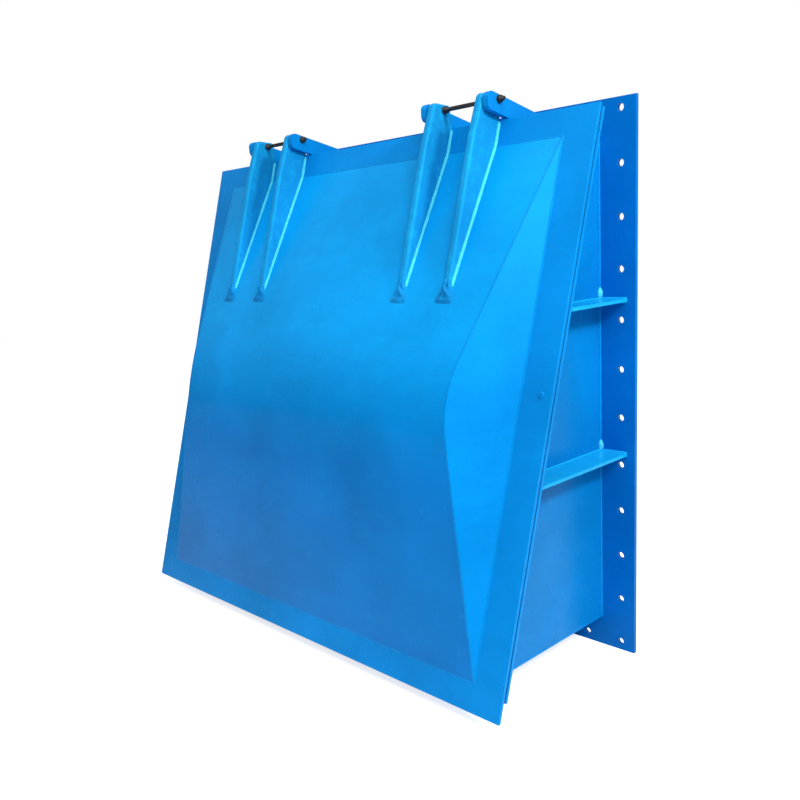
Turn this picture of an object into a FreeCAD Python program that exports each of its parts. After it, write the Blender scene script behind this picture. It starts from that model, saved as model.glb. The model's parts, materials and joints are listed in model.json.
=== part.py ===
import FreeCAD, Part
import math
import os

# Sluice gate of the top-hinged flap kind: a welded steel box bolts to a wall by its flange, and a
# leaf hung from two pairs of lugs closes the box's sloping mouth.
# Millimetres. X is across the gate, +Z is up, and the flange's back face is the plane Y = 0, so the
# water leaves towards -Y. Z = 0 is the flange's bottom edge.

# ---- driving dimensions -------------------------------------------------------------------------
# clear opening, and the box round it
CLEAR_WIDTH = 1930.0
CLEAR_HEIGHT = 1800.0
BOX_PLATE = 10.0

# wall flange, as its width beyond the clear opening
FLANGE_SIDE = 155.0
FLANGE_FOOT = 125.0
FLANGE_HEAD = 125.0
FLANGE_PLATE = 16.0
HOLE_RADIUS = 13.0
HOLE_FROM_SIDE = 59.0
HOLE_FROM_END = 35.0
COLUMN_PITCH = 180.0
ROW_PITCH = 152.0

# slope of the mouth, and the leaf's front top edge
SLOPE_DEG = 17.64
LEAF_TOP_ABOVE_CLEAR = 92.0
LEAF_TOP_DEPTH = 201.0

# leaf, as its reach beyond the clear opening and the seat's foot
LEAF_SIDE = 136.5
LEAF_PAST_SEAT = 70.0
LEAF_PLATE = 12.0
BORDER_TOP = 95.0
BORDER_BOTTOM = 100.0
BORDER_SIDE = 125.0
SKIN_PLATE = 6.0
SKIN_PITCH_DEG = 11.8
RIDGE_RADIUS = 700.0
END_FACET_DEG = 47.1
PLUG_RADIUS = 11.0
PLUG_HEIGHT = 5.0
PLUG_FROM_TOP = 960.0
PLUG_FROM_EDGE = 43.0

# seat and its rubber
SEAT_PLATE = 12.0
SEAT_SIDE = 136.0
SEAT_DROP = 6.0
SEAT_BOTTOM_BAR = 45.0
SEAL_THICKNESS = 8.0
SEAL_WIDTH = 60.0
SEAL_INSET = 5.0
SEAL_GAP = 0.3

# ribs on the box's sides, with their height above the flange's foot
RIB_PLATE = 12.0
RIB_OVERHANG = 113.0
RIB_HEIGHTS = {"lower": 792.0, "upper": 1360.0}

# hinges
PAIR_FROM_MIDDLE = 555.0
ARM_SPACING = 229.0
ARM_WIDTH = 34.0
ARM_WALL = 6.0
ARM_DEPTH = 123.0
ARM_SHOULDER = 115.0
ARM_HEAD_DEPTH = 110.0
ARM_HEAD_FRONT = 58.0
ARM_HEAD_BACK = 76.0
ARM_HEAD_BACK_DEPTH = 32.0
ARM_HEAD_RADIUS = 22.0
ARM_CORNER_RADIUS = 12.0
PIN_ABOVE_LEAF = 48.0
PIN_BEFORE_LEAF = 56.0
SHAFT_RADIUS = 8.0
SHAFT_END = 26.0
NUT_FLATS = 24.0
NUT_THICKNESS = 13.0
LUG_PLATE = 24.0
LUG_REACH = 58.0
LUG_ABOVE_PIN = 17.0
LUG_NOSE_RADIUS = 22.0
LUG_BELOW_FLANGE_TOP = 8.0

# clearances
ARM_LUG_GAP = 6.0
LUG_LEAF_GAP = 6.0
NUT_ARM_GAP = 2.0
ARM_BORE_CLEARANCE = 0.3
LUG_BORE_CLEARANCE = 0.1

# ---- derived ------------------------------------------------------------------------------------
SLOPE = math.radians(SLOPE_DEG)
SIN = math.sin(SLOPE)
COS = math.cos(SLOPE)
FLANGE_HALF = CLEAR_WIDTH / 2 + FLANGE_SIDE
FLANGE_HEIGHT = FLANGE_FOOT + CLEAR_HEIGHT + FLANGE_HEAD
CLEAR_TOP = FLANGE_FOOT + CLEAR_HEIGHT
BOX_HALF = CLEAR_WIDTH / 2 + BOX_PLATE
BOX_BOTTOM = FLANGE_FOOT - BOX_PLATE
BOX_TOP = CLEAR_TOP + BOX_PLATE
SEAT_HALF = CLEAR_WIDTH / 2 + SEAT_SIDE
SEAL_FRONT = -(LEAF_PLATE + SEAL_GAP)
SEAT_FRONT = SEAL_FRONT - SEAL_THICKNESS
SEAT_BACK = SEAT_FRONT - SEAT_PLATE
LEAF_TOP_Z = CLEAR_TOP + LEAF_TOP_ABOVE_CLEAR
LEAF_HALF = CLEAR_WIDTH / 2 + LEAF_SIDE
SIDES = {"left": -1, "right": 1}


def leaf_yz(along, proud):
    """Y and Z of a point `along` the slope from the leaf's top edge, `proud` of its front face."""
    y = -LEAF_TOP_DEPTH - along * SIN - proud * COS
    z = LEAF_TOP_Z - along * COS + proud * SIN
    return y, z


def along_at(z, proud):
    """Distance down the slope at which the plane `proud` of the leaf's face has the height z."""
    return (LEAF_TOP_Z + proud * SIN - z) / COS


SEAT_END = along_at(BOX_BOTTOM, SEAT_BACK)
LEAF_LENGTH = SEAT_END + LEAF_PAST_SEAT


def seat_back_y(z):
    return leaf_yz(along_at(z, SEAT_BACK), SEAT_BACK)[0]


def prism(outline_yz, x_low, x_high):
    """A closed outline in the YZ plane, pushed along X."""
    points = [FreeCAD.Vector(x_low, y, z) for y, z in outline_yz]
    face = Part.Face(Part.makePolygon(points + points[:1]))
    return face.extrude(FreeCAD.Vector(x_high - x_low, 0, 0))


def leaf_prism(outline, x_low, x_high):
    """The same for an outline given as (along, proud)."""
    return prism([leaf_yz(a, p) for a, p in outline], x_low, x_high)


def leaf_bar(a_low, a_high, p_low, p_high, x_low, x_high):
    corners = [(a_low, p_low), (a_high, p_low), (a_high, p_high), (a_low, p_high)]
    return leaf_prism(corners, x_low, x_high)


def box(x_low, x_high, y_low, y_high, z_low, z_high):
    corner = FreeCAD.Vector(x_low, y_low, z_low)
    return Part.makeBox(x_high - x_low, y_high - y_low, z_high - z_low, corner)


def rod(radius, x_low, x_high, yz):
    start = FreeCAD.Vector(x_low, yz[0], yz[1])
    return Part.makeCylinder(radius, x_high - x_low, start, FreeCAD.Vector(1, 0, 0))


def side_span(side, near, far):
    """X limits of a piece that lies between two distances from the middle, on one side."""
    return sorted((SIDES[side] * near, SIDES[side] * far))


def save(name, shape):
    shape.exportStep("parts/" + name + ".step")


# ---- wall flange --------------------------------------------------------------------------------
def hole_places():
    """X and Z of every bolt hole: a column down each side, a row along the top and the bottom."""
    x_far = FLANGE_HALF - HOLE_FROM_SIDE
    z_low = HOLE_FROM_END
    z_high = FLANGE_HEIGHT - HOLE_FROM_END
    z_gaps = round((z_high - z_low) / COLUMN_PITCH)
    x_gaps = round(2 * x_far / ROW_PITCH)
    z_step = (z_high - z_low) / z_gaps
    x_step = 2 * x_far / x_gaps
    columns = [(x, z_low + k * z_step) for x in (-x_far, x_far) for k in range(z_gaps + 1)]
    rows = [(-x_far + k * x_step, z) for z in (z_low, z_high) for k in range(1, x_gaps)]
    return columns + rows


def flange_bar(x_low, x_high, z_low, z_high):
    bar = box(x_low, x_high, -FLANGE_PLATE, 0, z_low, z_high)
    places = [(x, z) for x, z in hole_places() if x_low < x < x_high and z_low < z < z_high]
    length = 3 * FLANGE_PLATE
    for x, z in places:
        start = FreeCAD.Vector(x, -2 * FLANGE_PLATE, z)
        bar = bar.cut(Part.makeCylinder(HOLE_RADIUS, length, start, FreeCAD.Vector(0, 1, 0)))
    return bar


def make_flange():
    save("flange_bottom", flange_bar(-FLANGE_HALF, FLANGE_HALF, 0, FLANGE_FOOT))
    save("flange_top", flange_bar(-FLANGE_HALF, FLANGE_HALF, CLEAR_TOP, FLANGE_HEIGHT))
    for side in SIDES:
        x_low, x_high = side_span(side, CLEAR_WIDTH / 2, FLANGE_HALF)
        save("flange_" + side, flange_bar(x_low, x_high, FLANGE_FOOT, CLEAR_TOP))


# ---- box ----------------------------------------------------------------------------------------
def plate_to_seat(z_low, z_high, x_low, x_high):
    """A piece from the flange's front face to the back of the sloping seat."""
    outline = [
        (-FLANGE_PLATE, z_low),
        (-FLANGE_PLATE, z_high),
        (seat_back_y(z_high), z_high),
        (seat_back_y(z_low), z_low),
    ]
    return prism(outline, x_low, x_high)


def make_box():
    save("bottom_plate", plate_to_seat(BOX_BOTTOM, FLANGE_FOOT, -BOX_HALF, BOX_HALF))
    save("top_plate", plate_to_seat(CLEAR_TOP, BOX_TOP, -BOX_HALF, BOX_HALF))
    for side in SIDES:
        x_low, x_high = side_span(side, CLEAR_WIDTH / 2, BOX_HALF)
        save("side_wall_" + side, plate_to_seat(FLANGE_FOOT, CLEAR_TOP, x_low, x_high))
        x_low, x_high = side_span(side, BOX_HALF, BOX_HALF + RIB_OVERHANG)
        for level, height in RIB_HEIGHTS.items():
            rib = plate_to_seat(height, height + RIB_PLATE, x_low, x_high)
            save("rib_" + level + "_" + side, rib)


# ---- seat and seal ------------------------------------------------------------------------------
def make_seat():
    a_top = SEAT_DROP
    a_mouth = along_at(CLEAR_TOP, SEAT_BACK)
    a_lip = SEAT_END - SEAT_BOTTOM_BAR
    half = CLEAR_WIDTH / 2
    depth = (SEAT_BACK, SEAT_FRONT)
    save("seat_top", leaf_bar(a_top, a_mouth, *depth, -SEAT_HALF, SEAT_HALF))
    save("seat_bottom", leaf_bar(a_lip, SEAT_END, *depth, -half, half))
    for side in SIDES:
        x_low, x_high = side_span(side, half, SEAT_HALF)
        save("seat_" + side, leaf_bar(a_mouth, SEAT_END, *depth, x_low, x_high))

    outer = SEAT_HALF - SEAL_INSET
    a_high = a_top + SEAL_INSET
    a_low = SEAT_END - SEAL_INSET
    a_turn = a_low - (SEAT_BOTTOM_BAR - 2 * SEAL_INSET)
    depth = (SEAT_FRONT, SEAL_FRONT)
    save("seal_top", leaf_bar(a_high, a_high + SEAL_WIDTH, *depth, -outer, outer))
    save("seal_bottom", leaf_bar(a_turn, a_low, *depth, -outer, outer))
    for side in SIDES:
        x_low, x_high = side_span(side, outer - SEAL_WIDTH, outer)
        save("seal_" + side, leaf_bar(a_high + SEAL_WIDTH, a_turn, *depth, x_low, x_high))


# ---- leaf ---------------------------------------------------------------------------------------
PITCH = math.radians(SKIN_PITCH_DEG)
SKIN_START = BORDER_TOP
SKIN_END = LEAF_LENGTH - BORDER_BOTTOM
SKIN_MIDDLE = (SKIN_START + SKIN_END) / 2
RIDGE_APEX = (SKIN_MIDDLE - SKIN_START) * math.tan(PITCH)
UNDER_LEAF = 40.0


def bulge(inset, end_inset):
    """The space under a skin that lies `inset` below the outer one, with its sloping ends moved in
    by `end_inset`. It reaches below the leaf's face, to be cut off there."""
    drop = inset / math.cos(PITCH)
    radius = RIDGE_RADIUS - inset
    reach = radius * math.sin(PITCH)
    centre = RIDGE_APEX - drop - radius / math.cos(PITCH)
    tangent = RIDGE_APEX - drop - reach * math.tan(PITCH)
    shift = (drop - UNDER_LEAF) / math.tan(PITCH)
    outline = [
        (SKIN_START + shift, -UNDER_LEAF),
        (SKIN_MIDDLE - reach, tangent),
        (SKIN_MIDDLE, centre + radius),
        (SKIN_MIDDLE + reach, tangent),
        (SKIN_END - shift, -UNDER_LEAF),
    ]
    start, left, crown, right, end = [
        FreeCAD.Vector(-LEAF_HALF, *leaf_yz(a, p)) for a, p in outline
    ]
    edges = [
        Part.LineSegment(start, left).toShape(),
        Part.Arc(left, crown, right).toShape(),
        Part.LineSegment(right, end).toShape(),
        Part.LineSegment(end, start).toShape(),
    ]
    body = Part.Face(Part.Wire(edges)).extrude(FreeCAD.Vector(2 * LEAF_HALF, 0, 0))
    for sign in SIDES.values():
        body = body.cut(outside_end(sign, end_inset))
    far = 2 * LEAF_HALF
    return body.cut(leaf_bar(-far, LEAF_LENGTH + far, -2 * UNDER_LEAF, 0, -far, far))


def outside_end(sign, inset):
    """Everything beyond the sloping end plane on one side of the leaf."""
    lean = math.radians(END_FACET_DEG)
    foot = LEAF_HALF - BORDER_SIDE - inset / math.sin(lean)
    height = 2 * RIDGE_APEX
    far = 2 * LEAF_HALF
    shift = height / math.tan(lean)
    corners = [(foot + shift, -height), (far, -height), (far, height), (foot - shift, height)]
    points = [FreeCAD.Vector(sign * x, *leaf_yz(-far, p)) for x, p in corners]
    face = Part.Face(Part.makePolygon(points + points[:1]))
    length = LEAF_LENGTH + 2 * far
    return face.extrude(FreeCAD.Vector(0, -length * SIN, -length * COS))


def make_leaf():
    save("leaf_plate", leaf_bar(0, LEAF_LENGTH, -LEAF_PLATE, 0, -LEAF_HALF, LEAF_HALF))
    outer = bulge(0, 0)
    under_ends = bulge(0, SKIN_PLATE)
    save("skin", under_ends.cut(bulge(SKIN_PLATE, SKIN_PLATE)))
    ends = outer.cut(under_ends)
    for side, sign in SIDES.items():
        x_low, x_high = side_span(side, 0, LEAF_HALF)
        half_space = box(x_low, x_high, -LEAF_LENGTH, 0, 0, FLANGE_HEIGHT)
        save("end_facet_" + side, ends.common(half_space))
        plug_x = sign * (LEAF_HALF - PLUG_FROM_EDGE)
        start = FreeCAD.Vector(plug_x, *leaf_yz(PLUG_FROM_TOP, 0))
        plug = Part.makeCylinder(PLUG_RADIUS, PLUG_HEIGHT, start, FreeCAD.Vector(0, -COS, SIN))
        save("border_plug_" + side, plug)


# ---- hinges -------------------------------------------------------------------------------------
PIN = (-PIN_ABOVE_LEAF, PIN_BEFORE_LEAF)
PIN_YZ = leaf_yz(*PIN)


def corner_arc(before, corner, after, radius):
    """Start, middle and end of the arc that rounds a corner between two other points."""
    back = (before - corner).normalize()
    forth = (after - corner).normalize()
    bisector = (back + forth).normalize()
    half = math.acos(bisector.dot(forth))
    reach = radius / math.tan(half)
    middle = corner + bisector * (radius / math.sin(half) - radius)
    return corner + back * reach, middle, corner + forth * reach


def rounded_prism(outline_yz, radii, x_low, x_high):
    """A closed outline in the YZ plane pushed along X; radii gives the rounding of some corners."""
    points = [FreeCAD.Vector(x_low, y, z) for y, z in outline_yz]
    count = len(points)
    edges = []
    stops = []
    for k, point in enumerate(points):
        if k in radii:
            arc = corner_arc(points[k - 1], point, points[(k + 1) % count], radii[k])
            edges.append(Part.Arc(*arc).toShape())
            stops.append((arc[0], arc[2]))
        else:
            stops.append((point, point))
    for k in range(count):
        edges.append(Part.LineSegment(stops[k - 1][1], stops[k][0]).toShape())
    face = Part.Face(Part.Wire(Part.__sortEdges__(edges)))
    return face.extrude(FreeCAD.Vector(x_high - x_low, 0, 0))


def toe_along(depth):
    """Where a line `depth` proud of the leaf runs into the skin."""
    return SKIN_START + depth / math.tan(PITCH)


def leaf_proud(point):
    """How far a point stands out from the leaf's face."""
    return -(point.y + LEAF_TOP_DEPTH) * COS + (point.z - LEAF_TOP_Z) * SIN


def round_front_edges(shape, radius):
    """Rounds an arm's long edges, down its front face and over its eye."""
    chosen = []
    for edge in shape.Edges:
        ends = [vertex.Point for vertex in edge.Vertexes]
        on_side = abs(ends[0].x - ends[1].x) < 0.01
        on_front = all(leaf_proud(point) > PIN[1] + 1 for point in ends)
        if on_side and (on_front or isinstance(edge.Curve, Part.Circle)):
            chosen.append(edge)
    return shape.makeFillet(radius, chosen)


def arm_form(width, wall):
    """An arm's outer form, or with a wall the hollow inside it, about X = 0."""
    depth = ARM_DEPTH - wall
    toe = (toe_along(depth), depth)
    outline = [
        (wall - ARM_HEAD_FRONT, ARM_HEAD_DEPTH - wall),
        (ARM_SHOULDER, depth),
        toe,
        (toe[0], -UNDER_LEAF),
    ]
    if wall:
        outline += [(wall - ARM_HEAD_BACK, -UNDER_LEAF)]
    else:
        outline += [(0, -UNDER_LEAF), (0, 0)]
    outline += [(wall - ARM_HEAD_BACK, ARM_HEAD_BACK_DEPTH)]
    places = [leaf_yz(a, p) for a, p in outline]
    shape = rounded_prism(places, {0: ARM_HEAD_RADIUS - wall}, -width / 2, width / 2)
    return round_front_edges(shape, ARM_CORNER_RADIUS - wall)


def under_arm():
    """Everything below an arm's foot: under the leaf's face, then under the skin's upper slope."""
    far = 2 * ARM_HEAD_BACK
    toe = (toe_along(ARM_DEPTH), ARM_DEPTH)
    deep = -2 * UNDER_LEAF
    outline = [(-far, 0), (SKIN_START, 0), toe, (toe[0], deep), (-far, deep)]
    return leaf_prism(outline, -ARM_WIDTH, ARM_WIDTH)


def arm(x_middle):
    outer = arm_form(ARM_WIDTH, 0)
    hollow = arm_form(ARM_WIDTH - 2 * ARM_WALL, ARM_WALL)
    bore = rod(SHAFT_RADIUS + ARM_BORE_CLEARANCE, -ARM_WIDTH, ARM_WIDTH, PIN_YZ)
    shape = outer.cut(hollow).cut(bore).cut(under_arm())
    shape.translate(FreeCAD.Vector(x_middle, 0, 0))
    return shape


def lug(x_low, x_high):
    """A bar on the box's top, leaning forward over the leaf's edge to carry the pin in its nose."""
    back_y = -FLANGE_PLATE
    back_z = FLANGE_HEIGHT - LUG_BELOW_FLANGE_TOP
    lean = (PIN_YZ[1] + LUG_ABOVE_PIN - back_z) / (PIN_YZ[0] - back_y)
    nose_y = PIN_YZ[0] - LUG_REACH
    edge_y, edge_z = leaf_yz(-LUG_LEAF_GAP, 0)
    under_y, under_z = leaf_yz(-LUG_LEAF_GAP, SEAT_FRONT)
    outline = [
        (nose_y, back_z + lean * (nose_y - back_y)),
        (nose_y, edge_z + lean * (nose_y - edge_y)),
        (edge_y, edge_z),
        (under_y, under_z),
        leaf_yz(SEAT_DROP, SEAT_FRONT),
        leaf_yz(SEAT_DROP, SEAT_BACK),
        (seat_back_y(BOX_TOP), BOX_TOP),
        (back_y, BOX_TOP),
        (back_y, back_z),
    ]
    shape = rounded_prism(outline, {0: LUG_NOSE_RADIUS, 1: LUG_NOSE_RADIUS}, x_low, x_high)
    return shape.cut(rod(SHAFT_RADIUS + LUG_BORE_CLEARANCE, x_low - 1, x_high + 1, PIN_YZ))


def hexagon(x_low, x_high):
    corner = NUT_FLATS / math.sqrt(3)
    turns = [math.radians(60 * k) for k in range(6)]
    outline = [(PIN_YZ[0] + corner * math.cos(t), PIN_YZ[1] + corner * math.sin(t)) for t in turns]
    return prism(outline, x_low, x_high)


def make_hinges():
    for side, sign in SIDES.items():
        middle = sign * PAIR_FROM_MIDDLE
        for place, step in (("inner", -1), ("outer", 1)):
            x_arm = middle + sign * step * ARM_SPACING / 2
            save("arm_" + side + "_" + place, arm(x_arm))
            near = x_arm + sign * step * (ARM_WIDTH / 2 + ARM_LUG_GAP)
            far = near + sign * step * LUG_PLATE
            save("lug_" + side + "_" + place, lug(*sorted((near, far))))
        reach = ARM_SPACING / 2 + ARM_WIDTH / 2 + ARM_LUG_GAP + LUG_PLATE
        inside = ARM_SPACING / 2 - ARM_WIDTH / 2 - NUT_ARM_GAP - NUT_THICKNESS
        shaft = rod(SHAFT_RADIUS, middle - reach - SHAFT_END, middle + reach + SHAFT_END, PIN_YZ)
        for low in (-reach - NUT_THICKNESS, -inside - NUT_THICKNESS, inside, reach):
            shaft = shaft.fuse(hexagon(middle + low, middle + low + NUT_THICKNESS))
        save("shaft_" + side, shaft)


os.makedirs("parts", exist_ok=True)
make_flange()
make_box()
make_seat()
make_leaf()
make_hinges()
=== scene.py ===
"""Finish for a wall-mounted flap sluice gate: paint, welds, hinge hardware, stage and camera."""

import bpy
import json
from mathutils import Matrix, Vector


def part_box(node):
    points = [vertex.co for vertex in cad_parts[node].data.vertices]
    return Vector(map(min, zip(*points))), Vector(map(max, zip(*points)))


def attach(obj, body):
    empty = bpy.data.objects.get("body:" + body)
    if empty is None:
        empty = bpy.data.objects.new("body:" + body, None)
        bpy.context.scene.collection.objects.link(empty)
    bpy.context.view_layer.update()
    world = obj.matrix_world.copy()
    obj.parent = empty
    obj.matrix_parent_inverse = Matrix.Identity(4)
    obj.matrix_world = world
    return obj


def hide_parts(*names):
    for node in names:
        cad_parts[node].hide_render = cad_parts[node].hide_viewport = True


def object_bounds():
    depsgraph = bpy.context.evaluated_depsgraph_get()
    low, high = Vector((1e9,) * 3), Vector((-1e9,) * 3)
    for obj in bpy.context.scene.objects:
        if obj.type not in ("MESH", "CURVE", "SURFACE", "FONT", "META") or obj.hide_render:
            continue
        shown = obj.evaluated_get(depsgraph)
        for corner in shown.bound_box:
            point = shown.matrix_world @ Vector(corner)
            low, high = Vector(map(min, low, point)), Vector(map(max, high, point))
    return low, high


bl_info = {
    "name": "Sluice Gate Finish",
    "version": (1, 0, 0),
    "blender": (4, 5, 0),
    "location": "View3D > Sidebar > Sluice Gate",
    "description": "Paint, weld beads and hinge hardware for a flap sluice gate",
    "category": "Object",
}

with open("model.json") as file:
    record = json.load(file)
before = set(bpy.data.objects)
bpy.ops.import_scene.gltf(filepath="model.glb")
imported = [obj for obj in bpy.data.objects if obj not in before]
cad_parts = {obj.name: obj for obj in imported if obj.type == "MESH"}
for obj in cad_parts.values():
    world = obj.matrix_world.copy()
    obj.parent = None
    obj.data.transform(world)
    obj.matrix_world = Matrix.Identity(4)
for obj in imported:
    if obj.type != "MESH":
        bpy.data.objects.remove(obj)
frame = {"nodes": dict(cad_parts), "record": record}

import json
import math

import bpy
from bpy.props import FloatProperty, FloatVectorProperty, PointerProperty
from mathutils import Matrix, Vector, noise

CAD_BOX = [list(corner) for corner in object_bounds()]
NODES = frame["nodes"]
SLOTS = {row["node"]: row["material_slot"] for row in frame["record"]["subparts"]}
SIDES = ("left", "right")
PLACES = ("outer", "inner")
ACROSS = Vector((1.0, 0.0, 0.0))
UP = Vector((0.0, 0.0, 1.0))
FRONT = Vector((0.0, -1.0, 0.0))
BACK = Vector((0.0, 1.0, 0.0))

# ---- the leaf: its slopes, directions and places -----------------------------------------------
SLOPE = math.radians(17.64)
SKIN_PITCH = math.radians(11.8)
END_FACET = math.radians(47.1)
LEAF_PLATE = 0.012
DOWN = Vector((0.0, -math.sin(SLOPE), -math.cos(SLOPE)))
OUT = Vector((0.0, -math.cos(SLOPE), math.sin(SLOPE)))
LEAF_LOW, LEAF_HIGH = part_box("leaf_plate")
LEAF_TOP = Vector((0.0, LEAF_HIGH.y - LEAF_PLATE * math.cos(SLOPE), LEAF_HIGH.z))
LEAF_LENGTH = (LEAF_TOP.z - LEAF_LOW.z) / math.cos(SLOPE) - LEAF_PLATE * math.tan(SLOPE)
BORDER_TOP = 0.095
BORDER_BOTTOM = 0.100
ARM_DEPTH = 0.123
ARM_TOE = BORDER_TOP + ARM_DEPTH / math.tan(SKIN_PITCH)


def leaf_point(x, along, out):
    """A point `along` the leaf from its top edge and `out` from its face."""
    return LEAF_TOP + ACROSS * x + DOWN * along + OUT * out


def skin_out(along):
    """How far the skin's upper slope stands out from the leaf's face."""
    return max(0.0, (along - BORDER_TOP) * math.tan(SKIN_PITCH))


# ---- colours -----------------------------------------------------------------------------------
# Linear colours. The skin, flange, side walls, arms, ribs and two kinds of weld are toned apart
# from the plain enamel, and these tones are painted light and shade: painted shade on the flange,
# the side walls, the skin's lower panel and the toe welds' lower ends, and painted light on the
# arms, ribs and foot welds.
WHITE = (1.0, 1.0, 1.0)
SKIN_COLOUR = (0.0015, 0.300, 0.72)
# Flange: darker than the plain enamel, as painted shade.
FLANGE_SHADED_COLOUR = (0.0006, 0.150, 0.52)
# Arms: brightened so that the lighter patches left by the blotches read as painted highlight.
ARM_HIGHLIGHT_COLOUR = (0.008, 0.32, 0.66)
# Toe welds: close to the arms' lighter tone, and darkened low down by a fade of painted shade.
TOE_COLOUR = (0.006, 0.29, 0.64)
# Foot welds and rib corner stops: light cyan, as painted highlight.
WELD_HIGHLIGHT_COLOUR = (0.08, 0.70, 0.85)
# Ribs: lighter than the plain enamel, as painted light from above.
RIB_LIT_COLOUR = (0.006, 0.37, 0.74)
# Side walls: the plain enamel darkened as painted shade.
WALL_PAINTED_SHADE = 0.86
# Level streaks of painted reflection: darker bands with a lighter edge, multiplied into the enamel.
REFLECTION_STREAK_TONE = (0.84, 0.90, 0.95)
REFLECTION_STREAK_STOPS = (
    (0.40, WHITE),
    (0.50, REFLECTION_STREAK_TONE),
    (0.565, REFLECTION_STREAK_TONE),
    (0.60, (1.06, 1.04, 1.02)),
)
DUST_STOPS = ((0.30, (0.90, 0.93, 0.95)), (0.46, WHITE))
DUST_STRENGTH = 0.6
# Patches of painted highlight: most of the surface is darkened, which leaves lighter blotches.
HIGHLIGHT_BLOTCH_STOPS = ((0.50, (0.5, 0.62, 0.75)), (0.66, WHITE))
SPECULAR_TINT = (0.05, 0.62, 1.0, 1.0)

# Painted shade on the skin's lower panel and the toe welds' lower ends: the height where a fade is
# full, the height where it ends, and what it multiplies the colour by.
SKIN_PAINTED_SHADE = (0.80, 1.30, (0.5, 0.60, 0.76))
TOE_PAINTED_SHADE = (1.19, 1.28, (0.2, 0.30, 0.50))


# ---- materials ---------------------------------------------------------------------------------
def new_material(name):
    """An empty node material with a Principled shader on its surface."""
    material = bpy.data.materials.new(name)
    material.use_nodes = True
    tree = material.node_tree
    tree.nodes.clear()
    output = tree.nodes.new("ShaderNodeOutputMaterial")
    shader = tree.nodes.new("ShaderNodeBsdfPrincipled")
    tree.links.new(shader.outputs["BSDF"], output.inputs["Surface"])
    return material, tree, shader


def add_noise(tree, scale, detail, roughness=0.5, stretch=(1.0, 1.0, 1.0), distortion=0.0):
    place = tree.nodes.new("ShaderNodeTexCoord")
    mapping = tree.nodes.new("ShaderNodeMapping")
    mapping.inputs["Scale"].default_value = stretch
    texture = tree.nodes.new("ShaderNodeTexNoise")
    texture.inputs["Scale"].default_value = scale
    texture.inputs["Detail"].default_value = detail
    texture.inputs["Roughness"].default_value = roughness
    texture.inputs["Distortion"].default_value = distortion
    tree.links.new(place.outputs["Object"], mapping.inputs["Vector"])
    tree.links.new(mapping.outputs["Vector"], texture.inputs["Vector"])
    return texture.outputs["Fac"]


def add_ramp(tree, source, stops):
    """A colour ramp from (place, colour) stops."""
    ramp = tree.nodes.new("ShaderNodeValToRGB")
    elements = ramp.color_ramp.elements
    while len(elements) < len(stops):
        elements.new(0.5)
    for element, (place, colour) in zip(elements, stops):
        element.position = place
        element.color = (*colour, 1.0)
    tree.links.new(source, ramp.inputs["Fac"])
    return ramp.outputs["Color"]


def add_range(tree, source, low, high, new_low, new_high):
    node = tree.nodes.new("ShaderNodeMapRange")
    node.inputs["From Min"].default_value = low
    node.inputs["From Max"].default_value = high
    node.inputs["To Min"].default_value = new_low
    node.inputs["To Max"].default_value = new_high
    tree.links.new(source, node.inputs["Value"])
    return node.outputs["Result"]


def add_multiply(tree, first, second, amount):
    node = tree.nodes.new("ShaderNodeMix")
    node.data_type = "RGBA"
    node.blend_type = "MULTIPLY"
    node.inputs["Factor"].default_value = amount
    tree.links.new(first, node.inputs["A"])
    tree.links.new(second, node.inputs["B"])
    return node.outputs["Result"]


def add_bump(tree, height, distance, strength, below=None):
    bump = tree.nodes.new("ShaderNodeBump")
    bump.inputs["Strength"].default_value = strength
    bump.inputs["Distance"].default_value = distance
    tree.links.new(height, bump.inputs["Height"])
    if below is not None:
        tree.links.new(below, bump.inputs["Normal"])
    return bump.outputs["Normal"]


def scaled(colour, factor):
    return tuple(min(1.0, factor * part) for part in colour)


def add_painted_shade_by_height(tree, base, low, high, darkest):
    """Painted shade: multiply the colour by `darkest` up to the height `low`, fading out at the
    height `high`.
    """
    place = tree.nodes.new("ShaderNodeTexCoord")
    split = tree.nodes.new("ShaderNodeSeparateXYZ")
    tree.links.new(place.outputs["Object"], split.inputs["Vector"])
    share = add_range(tree, split.outputs["Z"], low, high, 0.0, 1.0)
    shade = add_ramp(tree, share, [(0.0, darkest), (1.0, WHITE)])
    return add_multiply(tree, base, shade, 1.0)


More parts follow.
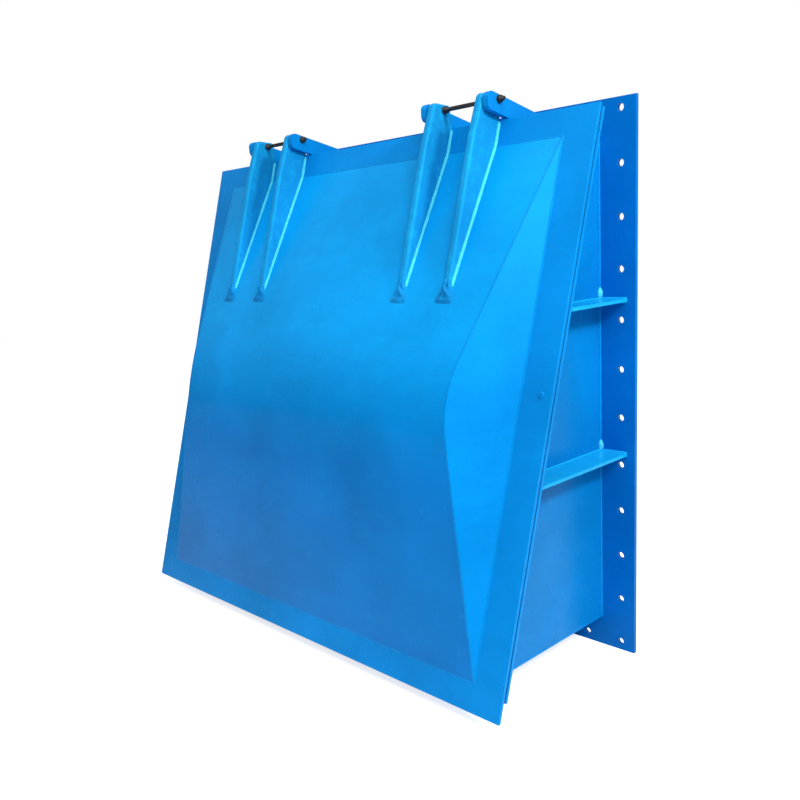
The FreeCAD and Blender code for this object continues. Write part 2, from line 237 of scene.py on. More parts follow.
def enamel(name, colour, reflection_streaks, rough, painted_shade=None, highlight_blotches=0.0):
    """Glossy enamel over plate: clouds, level streaks of painted reflection, dust, patches of
    painted highlight, a fade of painted shade by height, orange peel and a slow ripple.
    """
    material, tree, shader = new_material(name)
    clouds = add_noise(tree, scale=2.4, detail=5.0, roughness=0.55)
    base = add_ramp(tree, clouds, [(0.34, scaled(colour, 0.86)), (0.66, scaled(colour, 1.08))])
    # Level streaks of painted reflection.
    reflection_bands = add_noise(
        tree, scale=2.1, detail=6.0, roughness=0.6, stretch=(0.55, 1.0, 3.2), distortion=0.8
    )
    base = add_multiply(tree, base, add_ramp(tree, reflection_bands, REFLECTION_STREAK_STOPS), reflection_streaks)
    specks = add_noise(tree, scale=38.0, detail=6.0, roughness=0.65)
    base = add_multiply(tree, base, add_ramp(tree, specks, DUST_STOPS), DUST_STRENGTH)
    # Patches of painted highlight.
    if highlight_blotches:
        highlight_patches = add_noise(tree, scale=26.0, detail=5.0, roughness=0.7)
        base = add_multiply(tree, base, add_ramp(tree, highlight_patches, HIGHLIGHT_BLOTCH_STOPS), highlight_blotches)
    if painted_shade:
        base = add_painted_shade_by_height(tree, base, *painted_shade)
    tree.links.new(base, shader.inputs["Base Color"])
    smears = add_noise(tree, scale=6.0, detail=6.0, roughness=0.6)
    gloss = add_range(tree, smears, 0.3, 0.7, rough - 0.06, rough + 0.12)
    tree.links.new(gloss, shader.inputs["Roughness"])
    waves = add_noise(tree, scale=1.9, detail=1.0)
    ripple = add_bump(tree, waves, distance=0.010, strength=0.30)
    hollows = add_noise(tree, scale=14.0, detail=2.0)
    dents = add_bump(tree, hollows, distance=0.0012, strength=0.25, below=ripple)
    grain = add_noise(tree, scale=380.0, detail=2.0)
    peel = add_bump(tree, grain, distance=0.0004, strength=0.30, below=dents)
    tree.links.new(peel, shader.inputs["Normal"])
    shader.inputs["IOR"].default_value = 1.27
    shader.inputs["Specular IOR Level"].default_value = 0.8
    shader.inputs["Specular Tint"].default_value = SPECULAR_TINT
    return material


def rubber(name):
    """Dull black rubber with a fine grain."""
    material, tree, shader = new_material(name)
    grain = add_noise(tree, scale=60.0, detail=4.0)
    tone = add_ramp(tree, grain, [(0.3, (0.010, 0.010, 0.011)), (0.7, (0.028, 0.028, 0.030))])
    tree.links.new(tone, shader.inputs["Base Color"])
    tree.links.new(add_range(tree, grain, 0.3, 0.7, 0.62, 0.82), shader.inputs["Roughness"])
    bump = add_bump(tree, grain, distance=0.0006, strength=0.5)
    tree.links.new(bump, shader.inputs["Normal"])
    return material


def oiled_steel(name):
    """Dark oiled steel with a little rust."""
    material, tree, shader = new_material(name)
    grain = add_noise(tree, scale=90.0, detail=5.0, roughness=0.6, stretch=(0.15, 1.0, 1.0))
    stains = add_noise(tree, scale=22.0, detail=5.0, roughness=0.6)
    tone = add_ramp(tree, grain, [(0.3, (0.018, 0.018, 0.020)), (0.75, (0.075, 0.073, 0.072))])
    rust = add_ramp(tree, stains, [(0.56, WHITE), (0.70, (0.75, 0.45, 0.32))])
    tree.links.new(add_multiply(tree, tone, rust, 0.7), shader.inputs["Base Color"])
    shader.inputs["Metallic"].default_value = 0.7
    tree.links.new(add_range(tree, grain, 0.3, 0.7, 0.34, 0.58), shader.inputs["Roughness"])
    return material


# Filled by the paint operator. A key is a slot, the start of a node's name, or a kind of weld.
MATERIALS = {}


def paint(piece, material):
    piece.data.materials.clear()
    piece.data.materials.append(material)


# ---- mesh helpers ------------------------------------------------------------------------------
def make_piece(name, points, faces, material, body):
    """A smooth-shaded mesh that rides on a body."""
    mesh = bpy.data.meshes.new(name)
    mesh.from_pydata([tuple(point) for point in points], [], faces)
    mesh.validate()
    mesh.polygons.foreach_set("use_smooth", [True] * len(mesh.polygons))
    piece = bpy.data.objects.new(name, mesh)
    bpy.context.scene.collection.objects.link(piece)
    paint(piece, material)
    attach(piece, body)
    return piece


def tube_faces(start, rings, around):
    """Faces of a closed skin over rings of points, with a flat cap on each end."""
    faces = []
    for ring in range(rings - 1):
        for step in range(around):
            after = (step + 1) % around
            low = start + ring * around
            high = low + around
            faces.append((low + step, low + after, high + after, high + step))
    last = start + (rings - 1) * around
    faces.append(tuple(start + step for step in reversed(range(around))))
    faces.append(tuple(last + step for step in range(around)))
    return faces


def ease(value):
    """0 to 1 along a smooth curve, held at either end."""
    value = max(0.0, min(1.0, value))
    return value * value * (3.0 - 2.0 * value)


# ---- welds -------------------------------------------------------------------------------------
WELD_STEP = 0.0022
WELD_SAMPLES = 6
WELD_SINK = 0.0008
WELD_TAPER = 1.6  # in legs
ARM_WELD_START = 0.006
ARM_WELD_STOP = 0.030
# A stop in a rib's corner: its leg, and its reach below and above the rib's top.
STOP_WELD = 0.013
STOP_BELOW = 0.010
STOP_ABOVE = 0.042
LUG_WELD_SHORT = 0.06


def path_points(corners, step):
    """Points at even steps along a run of straight lengths."""
    points = []
    for start, end in zip(corners, corners[1:]):
        count = max(2, int((end - start).length / step))
        points += [start.lerp(end, k / count) for k in range(count)]
    return points + [corners[-1]]


def weld_run(corners, first, second, leg, pitch):
    """Rings of points for one fillet weld. It lies in the corner between two plates, whose
    directions away from the corner are `first` and `second`."""
    points = path_points(corners, WELD_STEP)
    bisector = (first + second).normalized()
    total = (len(points) - 1) * WELD_STEP
    rings = []
    for k, point in enumerate(points):
        travel = k * WELD_STEP
        wander = noise.noise(point * 31.0) * 0.16 + noise.noise(point * 9.0) * 0.14
        ends = ease(min(travel, total - travel) / (WELD_TAPER * leg))
        ring = [point - bisector * WELD_SINK]
        for sample in range(WELD_SAMPLES):
            share = sample / (WELD_SAMPLES - 1)
            crown = math.sin(math.pi * share)
            ripple = math.cos(2.0 * math.pi * (travel / pitch - 0.35 * crown))
            size = leg * (0.35 + 0.65 * ends) * (1.0 + wander + 0.05 * ripple)
            edge = first * (1.0 - share) + second * share
            ring.append(point + edge * size + bisector * (size * crown * (0.10 + 0.05 * ripple)))
        rings.append(ring)
    return rings


def weld_piece(name, runs, body, leg, pitch, finish="weld"):
    """One piece of weld from (corners, first, second) runs."""
    points = []
    faces = []
    for corners, first, second in runs:
        rings = weld_run(corners, first, second, leg, pitch)
        faces += tube_faces(len(points), len(rings), len(rings[0]))
        points += [point for ring in rings for point in ring]
    return make_piece(name, points, faces, MATERIALS[finish], body)


# ---- turned and threaded steel -----------------------------------------------------------------
THREAD_PITCH = 0.002
THREAD_HALF_DEPTH = 0.00065
STUD_TIP = 0.003
PLAIN_MARGIN = 0.030
NUT_AND_WASHER = 0.013
WASHER_RADIUS = 0.0137
NUT_ARM_GAP = 0.002
SHARP_ANGLE = math.radians(34.0)


def lathe_rings(stations, around, radius_at, place):
    """Rings of points about an axis: radius_at(station, angle) gives each point's distance."""
    rings = []
    for station in stations:
        ring = []
        for step in range(around):
            angle = 2.0 * math.pi * step / around
            ring.append(place(station, radius_at(station, angle), angle))
        rings.append(ring)
    return rings


def join_rings(points, faces, rings):
    faces += tube_faces(len(points), len(rings), len(rings[0]))
    points += [point for ring in rings for point in ring]


def hexagon_radius(flats, angle):
    """The distance from a hexagon's middle to its side in the direction `angle`."""
    sector = math.pi / 3.0
    return flats / 2.0 / math.cos((angle % sector) - sector / 2.0)


def nut_rings(low, high, flats, place):
    """A hexagon nut between two stations, with its corners chamfered at both ends."""
    chamfer = 0.0022
    depths = (0.0, 0.0007, 0.0014, chamfer)
    stations = [low + d for d in depths] + [high - d for d in reversed(depths)]

    def radius_at(station, angle):
        depth = min(station - low, high - station)
        return min(hexagon_radius(flats, angle), 0.97 * flats / 2.0 + 1.6 * depth)

    return lathe_rings(stations, 48, radius_at, place)


def washer_rings(low, high, radius, place):
    edge = 0.0006
    stations = [low, low + edge, high - edge, high]

    def radius_at(station, angle):
        return radius - (edge if station in (low, high) else 0.0)

    return lathe_rings(stations, 40, radius_at, place)


def stud_rings(low, high, radius, plain, place):
    """A round bar with a rolled thread outside its plain middle stretch."""
    step = THREAD_PITCH / 5.0
    count = int((high - low) / step)
    stations = [low + (high - low) * k / count for k in range(count + 1)]

    def radius_at(station, angle):
        if plain[0] < station < plain[1]:
            return radius
        tip = ease(min(station - low, high - station) / STUD_TIP)
        turn = math.cos(2.0 * math.pi * station / THREAD_PITCH - angle)
        return radius * (0.86 + 0.14 * tip) - THREAD_HALF_DEPTH * (1.0 - turn)

    return lathe_rings(stations, 24, radius_at, place)


# ---- properties --------------------------------------------------------------------------------
class GateFinish(bpy.types.PropertyGroup):
    """Sizes and colours of the gate's finish."""

    paint_colour: FloatVectorProperty(
        name="Paint colour",
        description="Linear colour of the enamel",
        default=(0.0015, 0.225, 0.62),
        size=3,
        min=0.0,
        max=1.0,
        subtype="COLOR",
    )
    edge_radius: FloatProperty(
        name="Edge radius",
        description="Rounding of the plates' cut edges",
        default=0.0016,
        min=0.0,
        unit="LENGTH",
    )
    arm_weld: FloatProperty(
        name="Arm weld",
        description="Leg of the welds at the feet of the hinge arms",
        default=0.008,
        min=0.0,
        unit="LENGTH",
    )
    plate_weld: FloatProperty(
        name="Plate weld",
        description="Leg of the welds between the box's plates",
        default=0.005,
        min=0.0,
        unit="LENGTH",
    )
    skin_weld: FloatProperty(
        name="Skin weld",
        description="Leg of the flat weld round the leaf's skin",
        default=0.003,
        min=0.0,
        unit="LENGTH",
    )
    ripple_pitch: FloatProperty(
        name="Ripple pitch",
        description="Distance between the ripples of a weld",
        default=0.009,
        min=0.001,
        unit="LENGTH",
    )


class GateHardware(bpy.types.PropertyGroup):
    """Sizes of the hinge studs, nuts and washers."""

    stud_radius: FloatProperty(
        name="Stud radius", description="Radius of the hinge studs", default=0.0078, unit="LENGTH"
    )
    nut_flats: FloatProperty(
        name="Nut flats",
        description="Width of the nuts across their flats",
        default=0.024,
        unit="LENGTH",
    )
    washer: FloatProperty(
        name="Washer", description="Thickness of the washers", default=0.003, unit="LENGTH"
    )


class GateStage(bpy.types.PropertyGroup):
    """Where the gate is looked at from, and how it is lit."""

    eye: FloatVectorProperty(
        name="Eye",
        description="Place of the camera",
        default=(2.745, -2.753, 1.625),
        size=3,
        subtype="XYZ",
        unit="LENGTH",
    )
    turn: FloatProperty(
        name="Turn", description="Camera heading", default=math.radians(46.84), subtype="ANGLE"
    )
    drop: FloatProperty(
        name="Drop", description="Camera tilt down", default=math.radians(13.86), subtype="ANGLE"
    )
    roll: FloatProperty(
        name="Roll", description="Camera roll", default=math.radians(-3.77), subtype="ANGLE"
    )
    lens: FloatProperty(name="Lens", description="Focal length in millimetres", default=38.65)
    key_power: FloatProperty(
        name="Key light", description="Power of the key light in watts", default=200.0
    )
    sky_power: FloatProperty(
        name="Sky light", description="Power of the overhead softbox in watts", default=215.0
    )
    side_power: FloatProperty(
        name="Side light",
        description="Power of the softbox beside the gate in watts",
        default=140.0,
    )


# ---- operators ---------------------------------------------------------------------------------
# Nodes whose enamel carries painted light or shade, found by the start of their names.
LIGHT_PAINTED_NODES = ("skin", "flange_", "arm_", "rib_", "side_wall_")
CURVED = ("arm_", "lug_", "skin", "shaft_", "border_plug_")


class GATE_OT_paint(bpy.types.Operator):
    """Give every node its finish, and ease the edges of all but the flange's"""

    bl_idname = "gate.paint"
    bl_label = "Paint the plates"

    def execute(self, context):
        settings = context.scene.gate_finish
        colour = tuple(settings.paint_colour)
        # The side walls' enamel is the plain enamel darkened as painted shade.
        wall_shaded_colour = scaled(colour, WALL_PAINTED_SHADE)
        MATERIALS["gate_enamel"] = enamel("gate_enamel", colour, reflection_streaks=0.3, rough=0.26)
        # The skin's enamel is darkened lower down as painted shade.
        MATERIALS["skin"] = enamel(
            "skin_shaded_enamel", SKIN_COLOUR, reflection_streaks=0.3, rough=0.20, painted_shade=SKIN_PAINTED_SHADE
        )
        # The flange's enamel is darkened as painted shade.
        MATERIALS["flange_"] = enamel("flange_shaded_enamel", FLANGE_SHADED_COLOUR, reflection_streaks=0.2, rough=0.30)
        # The arms' enamel carries painted highlight in lighter patches.
        MATERIALS["arm_"] = enamel("arm_highlight_enamel", ARM_HIGHLIGHT_COLOUR, reflection_streaks=0.0, rough=0.34, highlight_blotches=0.55)
        MATERIALS["side_wall_"] = enamel("wall_shaded_enamel", wall_shaded_colour, reflection_streaks=0.2, rough=0.26)
        # The ribs' enamel is lighter as painted light.
        MATERIALS["rib_"] = enamel("rib_lit_enamel", RIB_LIT_COLOUR, reflection_streaks=0.0, rough=0.24)
        MATERIALS["weld"] = enamel("weld_enamel", colour, reflection_streaks=0.0, rough=0.24)
        # The foot welds' and corner stops' enamel is light cyan as painted highlight.
        MATERIALS["highlight_weld"] = enamel(
            "foot_weld_enamel", WELD_HIGHLIGHT_COLOUR, reflection_streaks=0.0, rough=0.2, highlight_blotches=0.5
        )
        # The toe welds' enamel carries painted shade, darker low down, and patches of painted
        # highlight.
        MATERIALS["toe_weld"] = enamel(
            "toe_weld_shaded_enamel", TOE_COLOUR, reflection_streaks=0.0, rough=0.3, painted_shade=TOE_PAINTED_SHADE, highlight_blotches=0.9
        )
        MATERIALS["seal_rubber"] = rubber("seal_rubber")
        MATERIALS["shaft_steel"] = oiled_steel("shaft_steel")
        for name, node in NODES.items():
            paint(node, MATERIALS[material_key(name)])
            if not name.startswith("flange_"):
                ease_edges(node, settings.edge_radius)
        return {"FINISHED"}


def material_key(name):
    """The material of a node: its enamel with painted light or shade where it has one, and its
    slot's where it has not.
    """
    for start in LIGHT_PAINTED_NODES:
        if name.startswith(start):
            return start
    return SLOTS[name]


def ease_edges(node, radius):
    """Join a node's faces and round its sharp edges. Only curved nodes are shaded smooth."""
    curved = node.name.startswith(CURVED)
    node.data.polygons.foreach_set("use_smooth", [curved] * len(node.data.polygons))
    weld = node.modifiers.new("join", "WELD")
    weld.merge_threshold = 0.00002
    bevel = node.modifiers.new("ease", "BEVEL")
    bevel.width = radius
    bevel.segments = 2
    bevel.limit_method = "ANGLE"
    bevel.angle_limit = math.radians(32.0)
    bevel.use_clamp_overlap = True
    if curved:
        shading = node.modifiers.new("shade", "WEIGHTED_NORMAL")
        shading.keep_sharp = True


class GATE_OT_arm_welds(bpy.types.Operator):
    """Run a fillet weld down both feet of each hinge arm, and fill round its toe"""

    bl_idname = "gate.arm_welds"
    bl_label = "Weld the hinge arms"

    def execute(self, context):
        settings = context.scene.gate_finish
        for side in SIDES:
            for place in PLACES:
                arm = "arm_" + side + "_" + place
                weld_arm(arm, settings.arm_weld, settings.ripple_pitch)
                toe_patch(arm, settings.arm_weld)
        return {"FINISHED"}


def weld_arm(arm, leg, pitch):
    """A fillet weld down each foot of an arm, over the border and the skin to near its toe."""
    low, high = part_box(arm)
    runs = []
    for x, away in ((low.x, -ACROSS), (high.x, ACROSS)):
        places = (ARM_WELD_START, BORDER_TOP, ARM_TOE - ARM_WELD_STOP)
        corners = [leaf_point(x, along, skin_out(along)) for along in places]
        runs.append((corners, away, OUT))
    # The foot welds take the light cyan enamel of painted highlight.
    weld_piece("weld_" + arm, runs, "leaf", leg, pitch, "highlight_weld")


# The mound round an arm's toe: its reach up and down the leaf, spread, sink and thickness.
TOE_BEGIN = 0.085
TOE_END = 0.012
TOE_SPREAD = 0.026
TOE_SINK = 0.0012
TOE_THICKNESS = 0.004


def toe_patch(arm, leg):
    """A low mound of weld that spreads from the arm's front on to the skin round its toe."""
    low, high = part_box(arm)
    middle = (low.x + high.x) / 2.0
    half = (high.x - low.x) / 2.0
    length_steps = 34
    width_steps = 28
    begin = ARM_TOE - TOE_BEGIN
    end = ARM_TOE + TOE_END
    points = []
    for row in range(length_steps + 1):
        share = row / length_steps
        along = begin + (end - begin) * share
        spread = half + leg * 0.6 + TOE_SPREAD * ease(share)
        arm_top = max(0.0, ARM_DEPTH - skin_out(along))
        for column in range(width_steps + 1):
            across = 2.0 * column / width_steps - 1.0
            ridge = arm_top * ease((1.0 - abs(across)) * spread / (spread - half + 0.004))
            mound = leg * (1.0 - across**4) * (1.0 - ease((share - 0.72) / 0.28))
            mound *= ease(share / 0.3)
            lumps = 1.0 + 0.45 * noise.noise(Vector((middle + across * 2.1, share * 5.3, 3.0)))
            height = (ridge + mound * 0.75) * lumps if 0 < column < width_steps else 0.0
            out = skin_out(along) + height - TOE_SINK
            points.append(leaf_point(middle + across * spread, along, out))
    rows = width_steps + 1
    top = len(points)
    points += [point - OUT * TOE_THICKNESS for point in points]
    faces = []
    for row in range(length_steps):
        for column in range(width_steps):
            a = row * rows + column
            quad = (a, a + 1, a + rows + 1, a + rows)
            faces.append(quad)
            faces.append(tuple(top + k for k in reversed(quad)))
    border = list(range(rows))
    border += [row * rows + width_steps for row in range(1, length_steps + 1)]
    border += [length_steps * rows + k for k in range(width_steps - 1, -1, -1)]
    border += [row * rows for row in range(length_steps - 1, 0, -1)]
    for here, after in zip(border, border[1:] + border[:1]):
        faces.append((after, here, top + here, top + after))
    # The mound takes the toe welds' enamel, with its painted shade and painted highlight.
    make_piece("toe_weld_" + arm, points, faces, MATERIALS["toe_weld"], "leaf")


class GATE_OT_skin_weld(bpy.types.Operator):
    """Run the flat weld that joins the leaf's skin to its plate"""

    bl_idname = "gate.skin_weld"
    bl_label = "Weld the skin"

    def execute(self, context):
        settings = context.scene.gate_finish
        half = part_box("end_facet_right")[1].x
        top = BORDER_TOP
        bottom = LEAF_LENGTH - BORDER_BOTTOM
        rise = OUT * math.sin(SKIN_PITCH)
        lean = DOWN * math.cos(SKIN_PITCH)
        runs = []
        for along, away, skin in ((top, -DOWN, rise + lean), (bottom, DOWN, rise - lean)):
            line = [leaf_point(-half, along, 0), leaf_point(half, along, 0)]
            runs.append((line, away, skin))
        for sign in (-1.0, 1.0):
            line = [leaf_point(sign * half, top, 0), leaf_point(sign * half, bottom, 0)]
            facet = OUT * math.sin(END_FACET) - ACROSS * (sign * math.cos(END_FACET))
            runs.append((line, ACROSS * sign, facet))
        weld_piece("weld_skin", runs, "leaf", settings.skin_weld, settings.ripple_pitch)
        return {"FINISHED"}


class GATE_OT_box_welds(bpy.types.Operator):
    """Weld the box to the flange and the seat, and the ribs and lugs to the box"""

    bl_idname = "gate.box_welds"
    bl_label = "Weld the box"

    def execute(self, context):
        settings = context.scene.gate_finish
        leg = settings.plate_weld
        pitch = settings.ripple_pitch
        weld_piece("weld_box_flange", box_flange_runs(), "housing", leg, pitch)
        weld_piece("weld_box_seat", box_seat_runs(), "housing", leg, pitch)
        for side in SIDES:
            for level in ("upper", "lower"):
                rib = "rib_" + level + "_" + side
                # Rib welds take the ribs' lighter enamel of painted light.
                weld_piece("weld_" + rib, rib_runs(rib), "housing", leg, pitch, "rib_")
                stop = "corner_weld_" + rib
                # Corner stops take the light cyan enamel of painted highlight.
                weld_piece(stop, corner_runs(rib), "housing", STOP_WELD, pitch, "highlight_weld")
            for place in PLACES:
                lug = "lug_" + side + "_" + place
                weld_piece("weld_" + lug, lug_runs(lug), "housing", leg, pitch)
        return {"FINISHED"}


BOX_LOW = Vector(
    (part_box("side_wall_left")[0].x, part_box("flange_left")[0].y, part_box("bottom_plate")[0].z)
)
BOX_HIGH = Vector((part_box("side_wall_right")[1].x, 0.0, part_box("top_plate")[1].z))
SEAL_GAP = 0.0003
SEAL_THICKNESS = 0.008
SEAT_PLATE = 0.012
SEAT_BACK = -(LEAF_PLATE + SEAL_GAP + SEAL_THICKNESS + SEAT_PLATE)


def seat_back_y(z):
    """Where the back of the sloping seat has the height z."""
    along = (LEAF_TOP.z + SEAT_BACK * OUT.z - z) / -DOWN.z
    return leaf_point(0, along, SEAT_BACK).y


def box_flange_runs():
    """Welds between the box and the flange, outside all four plates."""
    y = BOX_LOW.y
    runs = []
    for x, away in ((BOX_LOW.x, -ACROSS), (BOX_HIGH.x, ACROSS)):
        runs.append(([Vector((x, y, BOX_LOW.z)), Vector((x, y, BOX_HIGH.z))], away, FRONT))
    for z, away in ((BOX_LOW.z, -UP), (BOX_HIGH.z, UP)):
        runs.append(([Vector((BOX_LOW.x, y, z)), Vector((BOX_HIGH.x, y, z))], away, FRONT))
    return runs


def box_seat_runs():
    """Welds between the box and the back of the seat, at the sides and the top."""
    runs = []
    for x, away in ((BOX_LOW.x, -ACROSS), (BOX_HIGH.x, ACROSS)):
        ends = [Vector((x, seat_back_y(z), z)) for z in (BOX_LOW.z, BOX_HIGH.z)]
        runs.append((ends, away, BACK))
    y = seat_back_y(BOX_HIGH.z)
    line = [Vector((BOX_LOW.x, y, BOX_HIGH.z)), Vector((BOX_HIGH.x, y, BOX_HIGH.z))]
    runs.append((line, -DOWN, BACK))
    return runs


def rib_runs(rib):
    """Welds above and below a rib, along the wall, the flange and the seat."""
    low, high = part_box(rib)
    inner, outer, away = (high.x, low.x, -1.0) if high.x < 0 else (low.x, high.x, 1.0)
    outward = ACROSS * away
    y_wall = BOX_LOW.y
    runs = []
    for z, up in ((low.z, -UP), (high.z, UP)):
        front = seat_back_y(z)
        wall = [Vector((inner, y_wall, z)), Vector((inner, front, z))]
        flange = [Vector((inner, y_wall, z)), Vector((outer, y_wall, z))]
        seat = [Vector((inner, front, z)), Vector((outer, front, z))]
        runs.append((wall, outward, up))
        runs.append((flange, FRONT, up))
        runs.append((seat, BACK, up))
    return runs


def corner_runs(rib):
    """A heavy stop of weld in the corner of a rib, the wall and the flange."""
    low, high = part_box(rib)
    inner, away = (high.x, -1.0) if high.x < 0 else (low.x, 1.0)
    foot = Vector((inner, BOX_LOW.y, high.z))
    return [([foot - UP * STOP_BELOW, foot + UP * STOP_ABOVE], ACROSS * away, FRONT)]


def lug_runs(lug):
    """Welds on both sides of a lug, along the box and up the flange."""
    low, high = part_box(lug)
    z = BOX_HIGH.z
    front = seat_back_y(z)
    runs = []
    for x, away in ((low.x, -ACROSS), (high.x, ACROSS)):
        runs.append(([Vector((x, BOX_LOW.y, z)), Vector((x, front, z))], away, UP))
        flange = [Vector((x, BOX_LOW.y, z)), Vector((x, BOX_LOW.y, high.z - LUG_WELD_SHORT))]
        runs.append((flange, away, FRONT))
    return runs


class GATE_OT_hinge_studs(bpy.types.Operator):
    """Replace each plain hinge bar with a stud, its nuts and its washers"""

    bl_idname = "gate.hinge_studs"
    bl_label = "Fit the hinge studs"

    def execute(self, context):
        settings = context.scene.gate_hardware
        for side in SIDES:
            fit_stud(side, settings)
        return {"FINISHED"}


def fit_stud(side, settings):
    """A threaded stud through one pair of lugs and arms, with four nuts on washers."""
    low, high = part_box("shaft_" + side)
    centre = (low + high) / 2.0
    lugs = sorted(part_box("lug_" + side + "_" + place)[0].x for place in PLACES)
    lug_high = sorted(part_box("lug_" + side + "_" + place)[1].x for place in PLACES)
    arms = sorted(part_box("arm_" + side + "_" + place)[0].x for place in PLACES)
    arm_high = sorted(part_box("arm_" + side + "_" + place)[1].x for place in PLACES)

    def place(station, radius, angle):
        y = centre.y + radius * math.cos(angle)
        z = centre.z + radius * math.sin(angle)
        return Vector((station, y, z))

    points = []
    faces = []
    plain = (arm_high[0] + PLAIN_MARGIN, arms[1] - PLAIN_MARGIN)
    join_rings(points, faces, stud_rings(low.x, high.x, settings.stud_radius, plain, place))
    thin = settings.washer
    thick = NUT_AND_WASHER - thin
    faces_out = ((lugs[0], -1.0), (lug_high[1], 1.0))
    faces_in = ((arm_high[0] + NUT_ARM_GAP, 1.0), (arms[1] - NUT_ARM_GAP, -1.0))
    for face, sign in faces_out + faces_in:
        ends = sorted((face, face + sign * thin))
        join_rings(points, faces, washer_rings(ends[0], ends[1], WASHER_RADIUS, place))
        ends = sorted((face + sign * thin, face + sign * (thin + thick)))
        join_rings(points, faces, nut_rings(ends[0], ends[1], settings.nut_flats, place))
    steel = MATERIALS["shaft_steel"]
    piece = make_piece("hinge_stud_" + side, points, faces, steel, "housing")
    shade_by_angle(piece)
    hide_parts("shaft_" + side)


def shade_by_angle(piece):
    piece.data.set_sharp_from_angle(angle=SHARP_ANGLE)


class GATE_OT_border_plugs(bpy.types.Operator):
    """Replace each border plug with a domed one that has a hexagon socket"""

    bl_idname = "gate.border_plugs"
    bl_label = "Fit the border plugs"

    def execute(self, context):
        for side in SIDES:
            fit_plug(side)
        return {"FINISHED"}


SOCKET_RINGS = (5, 6)


def fit_plug(side):
    name = "border_plug_" + side
    low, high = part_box(name)
    centre = (low + high) / 2.0
    radius = (high.x - low.x) / 2.0
    along = (centre - LEAF_TOP).dot(DOWN)
    root = leaf_point(centre.x, along, 0.0)
    rise = 0.005
    profile = [
        (radius, 0.0),
        (radius, 0.0022),
        (radius - 0.0012, 0.0036),
        (radius - 0.004, 0.0047),
        (0.0045, rise),
        (0.0036, rise - 0.0006),
        (0.0033, 0.0016),
        (0.0004, 0.0012),
    ]
    stations = list(range(len(profile)))

    def radius_at(station, angle):
        wide = profile[station][0]
        return hexagon_radius(2.0 * wide, angle) if station in SOCKET_RINGS else wide

    def place(station, reach, angle):
        rim = ACROSS * math.cos(angle) + DOWN * math.sin(angle)
        return root + rim * reach + OUT * profile[station][1]

    points = []
    faces = []
    join_rings(points, faces, lathe_rings(stations, 36, radius_at, place))
    finish = MATERIALS["gate_enamel"]
    piece = make_piece("plug_" + side, points, faces, finish, "leaf")
    shade_by_angle(piece)
    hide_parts(name)


class GATE_OT_stage(bpy.types.Operator):
    """Build the floor, the lights and the camera"""

    bl_idname = "gate.stage"
    bl_label = "Set the stage"

    def execute(self, context):
        scene = context.scene
        scene.view_settings.view_transform = "Standard"
        add_floor()
        add_lights(scene)
        add_camera(scene)
        return {"FINISHED"}


FLOOR_HALF = 16.0
FLOOR_DROP = 0.001
FLOOR_GLOW = 0.74
ROOM_STRENGTH = 0.42
ROOM_STOPS = (
    (0.0, (0.30, 0.33, 0.36)),
    (0.5, (0.22, 0.27, 0.33)),
    (0.62, (0.55, 0.60, 0.66)),
    (1.0, (0.95, 1.0, 1.05)),
)
LIGHT_TARGET = (0.0, -0.4, 1.0)
SENSOR_WIDTH = 36.0
SHIFT_X = 0.0075
SHIFT_Y = 0.0659


def add_floor():
    """A pale floor. Its glow is seen by the camera alone, so it adds no light to the gate."""
    half = FLOOR_HALF
    low = CAD_BOX[0][2] - FLOOR_DROP
    mesh = bpy.data.meshes.new("floor")
    corners = [(-half, -half, low), (half, -half, low), (half, half, low), (-half, half, low)]
    mesh.from_pydata(corners, [], [(0, 1, 2, 3)])
    floor = bpy.data.objects.new("floor", mesh)
    bpy.context.scene.collection.objects.link(floor)
    material, tree, shader = new_material("floor_paint")
    mottle = add_noise(tree, scale=1.2, detail=3.0)
    tone = add_ramp(tree, mottle, [(0.35, (0.84, 0.84, 0.84)), (0.7, (0.88, 0.88, 0.88))])
    tree.links.new(tone, shader.inputs["Base Color"])
    shader.inputs["Roughness"].default_value = 0.8
    shader.inputs["Emission Color"].default_value = (*WHITE, 1.0)
    seen = tree.nodes.new("ShaderNodeLightPath")
    glow = add_range(tree, seen.outputs["Is Camera Ray"], 0.0, 1.0, 0.0, FLOOR_GLOW)
    tree.links.new(glow, shader.inputs["Emission Strength"])
    paint(floor, material)


def add_light(name, place, size, power):
    """A softbox that faces the gate."""
    data = bpy.data.lights.new(name, "AREA")
    data.shape = "RECTANGLE"
    data.size, data.size_y = size
    data.energy = power
    light = bpy.data.objects.new(name, data)
    light.location = place
    light.rotation_mode = "QUATERNION"
    light.rotation_quaternion = (Vector(LIGHT_TARGET) - Vector(place)).to_track_quat("-Z", "Y")
    bpy.context.scene.collection.objects.link(light)


def add_world(scene):
    """White to the camera alone. The gate sees a dimmer room that is brighter overhead."""
    world = bpy.data.worlds.new("studio")
    scene.world = world
    world.use_nodes = True
    tree = world.node_tree
    tree.nodes.clear()
    output = tree.nodes.new("ShaderNodeOutputWorld")
    room = tree.nodes.new("ShaderNodeBackground")
    white = tree.nodes.new("ShaderNodeBackground")
    white.inputs["Color"].default_value = (*WHITE, 1.0)
    white.inputs["Strength"].default_value = 1.0
    place = tree.nodes.new("ShaderNodeTexCoord")
    split = tree.nodes.new("ShaderNodeSeparateXYZ")
    tree.links.new(place.outputs["Generated"], split.inputs["Vector"])
    height = add_range(tree, split.outputs["Z"], -1.0, 1.0, 0.0, 1.0)
    tree.links.new(add_ramp(tree, height, ROOM_STOPS), room.inputs["Color"])
    room.inputs["Strength"].default_value = ROOM_STRENGTH
    seen = tree.nodes.new("ShaderNodeLightPath")
    mix = tree.nodes.new("ShaderNodeMixShader")
    tree.links.new(seen.outputs["Is Camera Ray"], mix.inputs["Fac"])
    tree.links.new(room.outputs["Background"], mix.inputs[1])
    tree.links.new(white.outputs["Background"], mix.inputs[2])
    tree.links.new(mix.outputs["Shader"], output.inputs["Surface"])


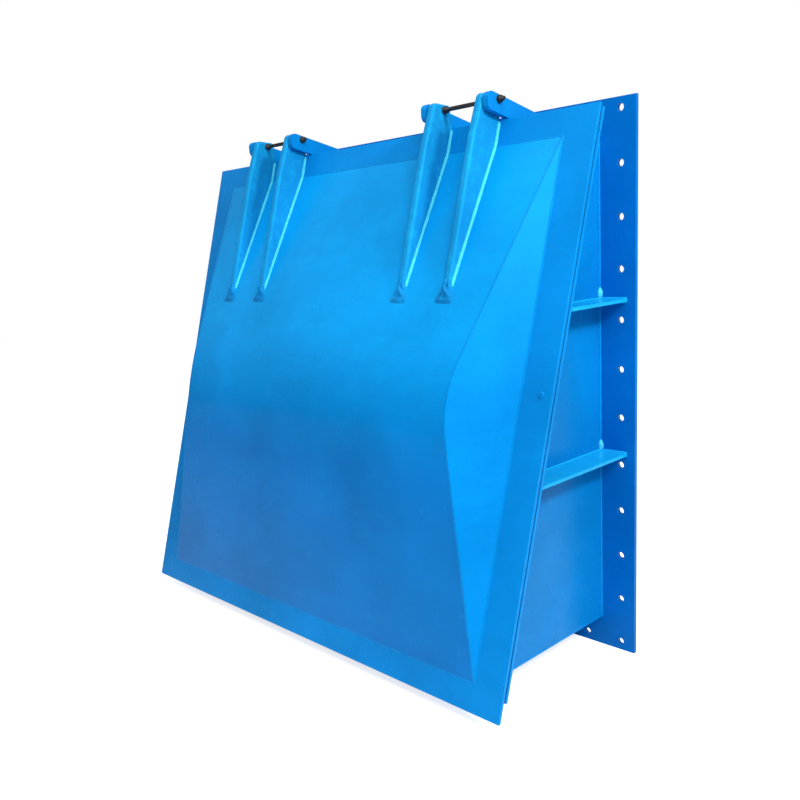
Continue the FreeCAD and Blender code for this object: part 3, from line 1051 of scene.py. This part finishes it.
def add_lights(scene):
    settings = scene.gate_stage
    add_world(scene)
    add_light("key", place=(5.2, -3.4, 4.6), size=(2.2, 2.2), power=settings.key_power)
    add_light("sky", place=(0.8, -2.6, 6.2), size=(6.0, 5.0), power=settings.sky_power)
    add_light("side", place=(4.5, -0.6, 3.9), size=(0.6, 0.6), power=settings.side_power)


def add_camera(scene):
    settings = scene.gate_stage
    data = bpy.data.cameras.new("camera")
    data.sensor_width = SENSOR_WIDTH
    data.lens = settings.lens
    data.shift_x = SHIFT_X
    data.shift_y = SHIFT_Y
    data.clip_end = 100.0
    camera = bpy.data.objects.new("camera", data)
    turn = Matrix.Rotation(settings.turn, 4, "Z")
    drop = Matrix.Rotation(math.pi / 2 - settings.drop, 4, "X")
    roll = Matrix.Rotation(settings.roll, 4, "Z")
    camera.matrix_world = Matrix.Translation(settings.eye) @ turn @ drop @ roll
    scene.collection.objects.link(camera)
    scene.camera = camera


class GATE_PT_sidebar(bpy.types.Panel):
    """Shows the gate's settings, and the steps that build its finish."""

    bl_idname = "GATE_PT_sidebar"
    bl_label = "Sluice Gate"
    bl_space_type = "VIEW_3D"
    bl_region_type = "UI"
    bl_category = "Sluice Gate"

    def draw(self, context):
        scene = context.scene
        for group in (scene.gate_finish, scene.gate_hardware, scene.gate_stage):
            for name in group.__annotations__:
                self.layout.prop(group, name)
        for operator in OPERATORS:
            self.layout.operator(operator.bl_idname)


OPERATORS = [
    GATE_OT_paint,
    GATE_OT_arm_welds,
    GATE_OT_skin_weld,
    GATE_OT_box_welds,
    GATE_OT_hinge_studs,
    GATE_OT_border_plugs,
    GATE_OT_stage,
]
CLASSES = [GateFinish, GateHardware, GateStage, *OPERATORS, GATE_PT_sidebar]


def register():
    for cls in CLASSES:
        bpy.utils.register_class(cls)
    bpy.types.Scene.gate_finish = PointerProperty(type=GateFinish)
    bpy.types.Scene.gate_hardware = PointerProperty(type=GateHardware)
    bpy.types.Scene.gate_stage = PointerProperty(type=GateStage)


def unregister():
    del bpy.types.Scene.gate_stage
    del bpy.types.Scene.gate_hardware
    del bpy.types.Scene.gate_finish
    for cls in reversed(CLASSES):
        bpy.utils.unregister_class(cls)


def main():
    register()
    bpy.ops.gate.paint()
    bpy.ops.gate.arm_welds()
    bpy.ops.gate.skin_weld()
    bpy.ops.gate.box_welds()
    bpy.ops.gate.hinge_studs()
    bpy.ops.gate.border_plugs()
    bpy.ops.gate.stage()


if __name__ == "__main__":
    main()
